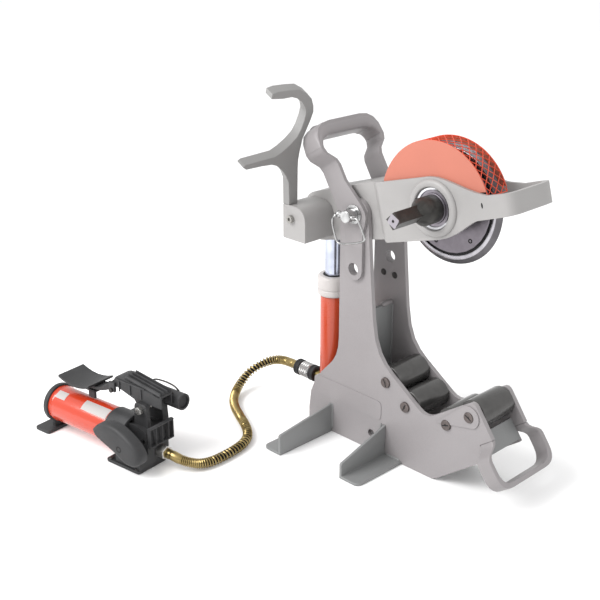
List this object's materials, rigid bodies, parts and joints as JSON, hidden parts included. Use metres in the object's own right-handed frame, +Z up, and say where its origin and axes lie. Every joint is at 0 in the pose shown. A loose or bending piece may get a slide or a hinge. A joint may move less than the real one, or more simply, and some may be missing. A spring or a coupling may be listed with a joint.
{
  "type": "power pipe cutter",
  "caption": "Roller-cradle pipe cutter with a powered cutting wheel on a hydraulic swing arm, guard, drive support fork and foot pump on a hose.",
  "frame": {"origin": "on the floor in the middle of the operator's side plate's bottom edge, under the middle of the roller cradle", "axes": "+X forward along the cutting arm, +Y away from the operator along the pipe, +Z up"},
  "size_m": [0.9576, 0.6139, 0.7665],
  "materials": {
    "paint_light": "satin grey paint",
    "paint_grey": "satin grey paint",
    "cast_grey": "satin light grey paint on a casting",
    "steel_dark": "blackened steel",
    "steel_bright": "bright plated steel",
    "steel_wheel": "machined grey steel",
    "guard_coral": "coral orange paint",
    "ram_orange": "gloss orange paint",
    "ram_cream": "satin cream paint",
    "pump_black": "semi-gloss black paint",
    "pump_red": "gloss red paint",
    "brass": "dull plated brass",
    "rubber_black": "black rubber"
  },
  "bodies": {
    "frame": {"near_side_plate": "paint_light", "far_side_plate": "paint_light", "column_web": "paint_grey", "front_cross_web": "paint_grey", "front_handle": "paint_light", "rear_foot": "paint_grey", "front_foot": "paint_grey", "carry_handle": "paint_light", "ram_base": "steel_dark", "ram_cylinder": "ram_orange", "ram_collar": "ram_cream", "pivot_pin": "steel_dark", "near_washer": "steel_bright", "far_washer": "steel_bright", "coupler_nipple": "brass", "coupler_front_ring": "rubber_black", "coupler_rear_ring": "rubber_black", "hose_core": "rubber_black", "hose_spring": "brass", "pump_base": "pump_black", "pump_rear_foot": "pump_black", "pump_tank": "pump_red", "pump_tank_cap": "pump_black", "pump_housing": "pump_black", "pump_treadle_pin": "steel_bright", "pump_release_pin": "steel_bright", "pump_hose_nut": "brass", "roller_pin_1": "steel_dark", "roller_pin_2": "steel_dark", "roller_pin_3": "steel_dark", "roller_pin_4": "steel_dark"},
    "arm": {"cutter_arm": "cast_grey", "near_bearing_outer": "steel_bright", "far_bearing": "steel_bright", "guard_near_plate": "guard_coral", "guard_far_plate": "guard_coral", "guard_mesh": "guard_coral", "rod_end_pin": "steel_dark", "fork_block": "cast_grey", "support_fork": "steel_wheel", "fork_bolt": "steel_dark"},
    "cutter": {"drive_shaft": "steel_dark", "cutter_wheel": "steel_bright", "wheel_flange": "steel_wheel", "near_bearing_inner": "steel_bright"},
    "ram_rod": {"ram_rod": "steel_bright"},
    "lock_pin": {"lock_pin": "steel_bright"},
    "bail": {"pin_bail": "steel_bright"},
    "treadle": {"pump_treadle": "pump_black"},
    "release_pedal": {"pump_release_pedal": "pump_black"},
    "coupler_sleeve": {"coupler_sleeve": "steel_bright"},
    "roller_1": {"roller_1": "steel_dark"},
    "roller_2": {"roller_2": "steel_dark"},
    "roller_3": {"roller_3": "steel_dark"},
    "roller_4": {"roller_4": "steel_dark"}
  },
  "joints": [
    {"name": "arm_pivot", "type": "hinge", "parent": "frame", "child": "arm", "pos_m": [-0.1985, 0.053, 0.516], "axis": [0, 1, 0], "range_deg": [0, 28]},
    {"name": "ram_slide", "type": "slide", "parent": "frame", "child": "ram_rod", "axis": [0, 0, 1], "range_m": [0, 0.05813]},
    {"name": "cutter_spin", "type": "hinge", "parent": "arm", "child": "cutter", "pos_m": [0.01009, 0.053, 0.57581], "axis": [0, 1, 0], "continuous": true},
    {"name": "lock_pin_pull", "type": "slide", "parent": "frame", "child": "lock_pin", "axis": [-1, 0, 0], "range_m": [0, 0.037]},
    {"name": "bail_swing", "type": "hinge", "parent": "lock_pin", "child": "bail", "pos_m": [-0.2205, -0.034, 0.516], "axis": [0, 1, 0], "range_deg": [-35, 8]},
    {"name": "treadle_lift", "type": "hinge", "parent": "frame", "child": "treadle", "pos_m": [-0.44229, -0.36162, 0.124], "axis": [-0.134, 0.991, 0], "range_deg": [0, 25]},
    {"name": "release_press", "type": "hinge", "parent": "frame", "child": "release_pedal", "pos_m": [-0.4163, -0.42693, 0.06], "axis": [-0.134, 0.991, 0], "range_deg": [-8, 0]},
    {"name": "coupler_turn", "type": "hinge", "parent": "frame", "child": "coupler_sleeve", "pos_m": [-0.395, 0.053, 0.084], "axis": [1, 0, 0], "continuous": true},
    {"name": "roller_1_spin", "type": "hinge", "parent": "frame", "child": "roller_1", "pos_m": [-0.10734, 0.053, 0.1721], "axis": [0, 1, 0], "continuous": true},
    {"name": "roller_2_spin", "type": "hinge", "parent": "frame", "child": "roller_2", "pos_m": [-0.0534, 0.053, 0.1353], "axis": [0, 1, 0], "continuous": true},
    {"name": "roller_3_spin", "type": "hinge", "parent": "frame", "child": "roller_3", "pos_m": [0.0534, 0.053, 0.1353], "axis": [0, 1, 0], "continuous": true},
    {"name": "roller_4_spin", "type": "hinge", "parent": "frame", "child": "roller_4", "pos_m": [0.10734, 0.053, 0.1721], "axis": [0, 1, 0], "continuous": true}
  ],
  "couplings": [
    {"joint": "ram_slide", "follows": "arm_pivot", "m_per_rad": 0.11874}
  ]
}
